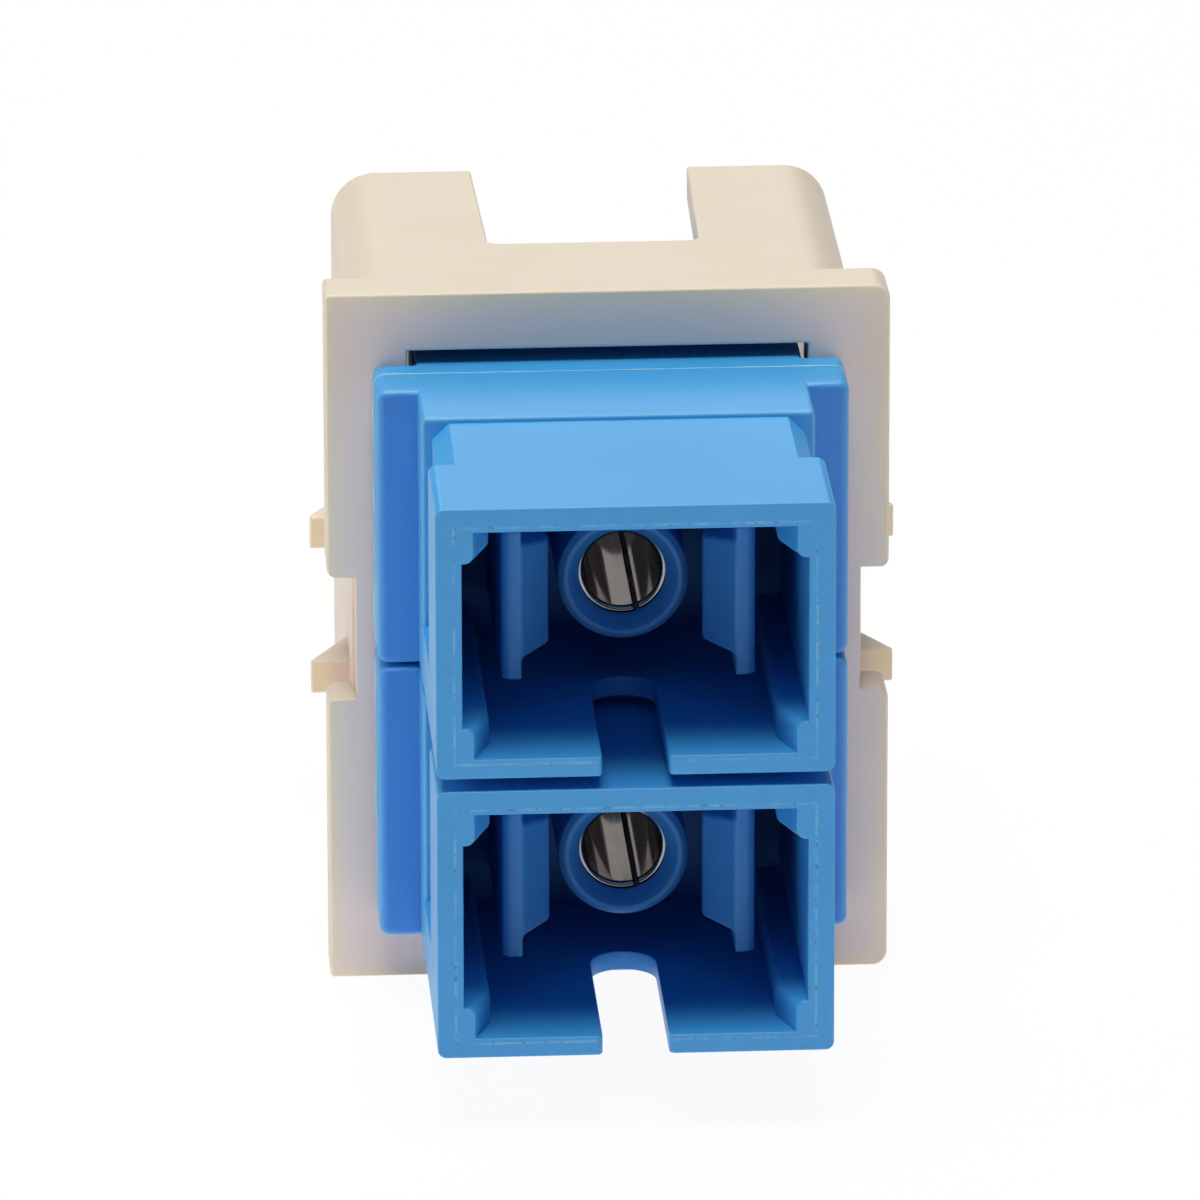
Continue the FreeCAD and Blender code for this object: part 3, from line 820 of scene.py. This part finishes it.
ROWS = ("upper", "lower")
ACROSS = Vector((1, 0, 0))
UP = Vector((0, 0, 1))
WINDOW_HALF_W = 6.6 * MM
WINDOW_HALF_H = 9.97 * MM
SIDE_NOTCH_HALF = 2.15 * MM
FRAME_ROLL, FRAME_STEPS = 0.08 * MM, 3
SHELL_STEPS = 4
LATCH_ROLL, LATCH_STEPS = 0.13 * MM, 3
CLIP_ROLL, CLIP_STEPS = 0.03 * MM, 2
frame_cuts = [(axis, side * at) for side in (-1, 1)
              for axis, at in ((ACROSS, WINDOW_HALF_W), (UP, WINDOW_HALF_H), (UP, SIDE_NOTCH_HALF))]
rolled_copy("frame_housing", FRAME_ROLL, FRAME_STEPS, ivory, cuts=frame_cuts)
for row in ROWS:
    for half in ("front", "rear"):
        rolled_copy(f"{row}_{half}_shell", SHELL_ROLL, SHELL_STEPS, blue, shell_share,
                    before=square_shoulder)
        rolled_copy(f"{row}_{half}_latch", LATCH_ROLL, LATCH_STEPS, latch_blue_shaded,
                    latch_share)
    rolled_copy(f"{row}_spring_clip", CLIP_ROLL, CLIP_STEPS, clip_steel)

# %% [markdown]
# The split sleeve follows a rule: a flat strip rolled into a tube that does not quite close. Geometry Nodes
# make it that way, by sweeping a small rounded rectangle, the strip's section, round an arc that stops
# short of a full turn. The slit is then a true gap, and its width is one named input.

# %% Split sleeves
def geometry_tree(name, inputs):
    """An empty geometry tree with named inputs. Returns the tree, its inputs and the identifier of each."""
    tree = bpy.data.node_groups.new(name, "GeometryNodeTree")
    tree.interface.new_socket("Geometry", in_out="OUTPUT", socket_type="NodeSocketGeometry")
    known = {}
    for label, kind in inputs.items():
        known[label] = tree.interface.new_socket(label, in_out="INPUT", socket_type=kind).identifier
    return tree, tree.nodes.new("NodeGroupInput").outputs, known


def grown(name, tree, known, values):
    """Runs a geometry tree on an empty mesh and keeps the result as a plain, smooth piece."""
    maker = bpy.data.objects.new(name + "_maker", bpy.data.meshes.new(name + "_maker"))
    bpy.context.scene.collection.objects.link(maker)
    step = maker.modifiers.new("maker", "NODES")
    step.node_group = tree
    for label, value in values.items():
        step[known[label]] = value
    ready = maker.evaluated_get(bpy.context.evaluated_depsgraph_get())
    mesh = bpy.data.meshes.new_from_object(ready)
    mesh.name = name
    for face in mesh.polygons:
        face.use_smooth = True
    maker.modifiers.clear()
    bpy.data.objects.remove(maker)
    piece = bpy.data.objects.new(name, mesh)
    bpy.context.scene.collection.objects.link(piece)
    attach(piece, BODY)
    print(name, "faces:", len(mesh.polygons))
    return piece


FLOAT = "NodeSocketFloat"
ARC_STEPS = 160
STRIP_ROUND_STEPS = 3


def sleeve_tree():
    tree, given, known = geometry_tree("split_sleeve", {
        "Middle Radius": FLOAT, "Wall": FLOAT, "Length": FLOAT, "Edge Round": FLOAT, "Start Angle": FLOAT,
        "Sweep Angle": FLOAT, "Place": "NodeSocketVector", "Finish": "NodeSocketMaterial"})
    arc = put(tree, "GeometryNodeCurveArc", {
        "Resolution": ARC_STEPS, "Radius": given["Middle Radius"], "Start Angle": given["Start Angle"],
        "Sweep Angle": given["Sweep Angle"]}, mode="RADIUS")
    upright = put(tree, "GeometryNodeSetCurveNormal", {"Curve": arc.outputs[0]})
    section = put(tree, "GeometryNodeCurvePrimitiveQuadrilateral",
                  {"Width": given["Wall"], "Height": given["Length"]}, mode="RECTANGLE")
    section = put(tree, "GeometryNodeFilletCurve",
                  {"Curve": section.outputs[0], "Radius": given["Edge Round"]}, mode="POLY")
    section.inputs["Count"].default_value = STRIP_ROUND_STEPS
    swept = put(tree, "GeometryNodeCurveToMesh", {
        "Curve": upright.outputs[0], "Profile Curve": section.outputs[0], "Fill Caps": True})
    laid = put(tree, "GeometryNodeTransform", {
        "Geometry": swept.outputs[0], "Translation": given["Place"], "Rotation": (math.pi / 2, 0, 0)})
    real = put(tree, "GeometryNodeRealizeInstances", {"Geometry": laid.outputs[0]})
    done = put(tree, "GeometryNodeSetMaterial", {"Geometry": real.outputs[0], "Material": given["Finish"]})
    put(tree, "NodeGroupOutput", {0: done.outputs[0]})
    return tree, known


SLEEVE_WALL = 0.35 * MM
STRIP_ROUND = 0.14 * MM
SLIT_WIDTH = 0.15 * MM
SLIT_FROM_DOWN = math.radians(20)
tree, known = sleeve_tree()
for row in ROWS:
    low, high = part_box(f"{row}_split_sleeve")
    middle_radius = (high.x - low.x) / 2 - SLEEVE_WALL / 2
    gap = SLIT_WIDTH / middle_radius
    sleeve = grown(f"{row}_sleeve_strip", tree, known, {
        "Middle Radius": middle_radius, "Wall": SLEEVE_WALL, "Length": high.y - low.y,
        "Edge Round": STRIP_ROUND, "Start Angle": SLIT_FROM_DOWN - math.pi / 2 + gap / 2,
        "Sweep Angle": 2 * math.pi - gap, "Place": (low + high) / 2, "Finish": sleeve_bronze})
    even_normals(sleeve, keep_sharp=False)
    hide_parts(f"{row}_split_sleeve")

# %% [markdown]
# The two halves of each adapter are welded by ultrasound, and the joint squeezes out a thin uneven bead
# round the flange. A bead follows a path, so it is a Geometry Nodes sweep too: a round profile along the
# flange's outline, with noise on its thickness, so that it swells in places and all but vanishes in others.

# %% Weld beads
CORNER_STEPS = 8
BEAD_SIDES = 8
SWELL_RANGE, SWELL_TO = (0.38, 0.68), (0.25, 1.0)
END_RANGE, END_TO = (-1.0, -0.75), (1.6, 0.8)   # the bead is thickest at the flange's left end


def bead_tree():
    tree, given, known = geometry_tree("weld_bead", {
        "Width": FLOAT, "Height": FLOAT, "Corner": FLOAT, "Bead": FLOAT, "Step": FLOAT, "Swell Size": FLOAT,
        "Seed": FLOAT, "Place": "NodeSocketVector", "Finish": "NodeSocketMaterial"})
    outline = put(tree, "GeometryNodeCurvePrimitiveQuadrilateral",
                  {"Width": given["Width"], "Height": given["Height"]}, mode="RECTANGLE")
    outline = put(tree, "GeometryNodeFilletCurve",
                  {"Curve": outline.outputs[0], "Radius": given["Corner"]}, mode="POLY")
    outline.inputs["Count"].default_value = CORNER_STEPS
    spaced = put(tree, "GeometryNodeResampleCurve", {"Curve": outline.outputs[0]}, mode="LENGTH")
    tree.links.new(given["Step"], spaced.inputs["Length"])
    place = put(tree, "GeometryNodeInputPosition").outputs[0]
    scale = math_node(tree, "DIVIDE", 1.0, given["Swell Size"])
    sockets = {"Vector": place, "W": given["Seed"], "Scale": scale, "Detail": 3.0}
    swell = put(tree, "ShaderNodeTexNoise", sockets, noise_dimensions="4D").outputs["Fac"]
    swell = ranged(tree, swell, *SWELL_RANGE, *SWELL_TO)
    across = axes_of(tree, place)["X"]
    half = math_node(tree, "DIVIDE", given["Width"], 2.0)
    end = ranged(tree, math_node(tree, "DIVIDE", across, half), *END_RANGE, *END_TO)
    swell = math_node(tree, "MULTIPLY", swell, end)
    profile = put(tree, "GeometryNodeCurvePrimitiveCircle",
                  {"Resolution": BEAD_SIDES, "Radius": given["Bead"]})
    swept = put(tree, "GeometryNodeCurveToMesh", {
        "Curve": spaced.outputs[0], "Profile Curve": profile.outputs[0], "Scale": swell})
    laid = put(tree, "GeometryNodeTransform", {
        "Geometry": swept.outputs[0], "Translation": given["Place"], "Rotation": (math.pi / 2, 0, 0)})
    real = put(tree, "GeometryNodeRealizeInstances", {"Geometry": laid.outputs[0]})
    done = put(tree, "GeometryNodeSetMaterial", {"Geometry": real.outputs[0], "Material": given["Finish"]})
    put(tree, "NodeGroupOutput", {0: done.outputs[0]})
    return tree, known


weld_pale = moulded_plastic(
    "weld_flash", body=colour(0.42, 0.68, 0.86), deep=colour(0.28, 0.58, 0.82), pale=colour(0.5, 0.72, 0.88),
    speck=colour(0.10, 0.30, 0.50), roughness=0.45, grain_size=0.06 * MM, grain_tone=0.06, bump=0.3,
    edge_glow_share=0.0)
FLANGE_CORNER = 0.35 * MM
BEAD_INSET = 0.02 * MM    # off the flange's width and height, so that the bead stays shallow
BEAD_RADIUS = 0.05 * MM
BEAD_STEP = 0.1 * MM
SWELL_SIZE = 1.3 * MM
SEEDS = (3.0, 5.0)
tree, known = bead_tree()
for seed, row in zip(SEEDS, ROWS):
    low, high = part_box(f"{row}_front_shell")
    grown(f"{row}_weld_bead", tree, known, {
        "Width": high.x - low.x - BEAD_INSET, "Height": high.z - low.z - BEAD_INSET, "Corner": FLANGE_CORNER,
        "Bead": BEAD_RADIUS, "Step": BEAD_STEP, "Swell Size": SWELL_SIZE, "Seed": seed,
        "Place": (0.0, high.y, (low.z + high.z) / 2), "Finish": weld_pale})
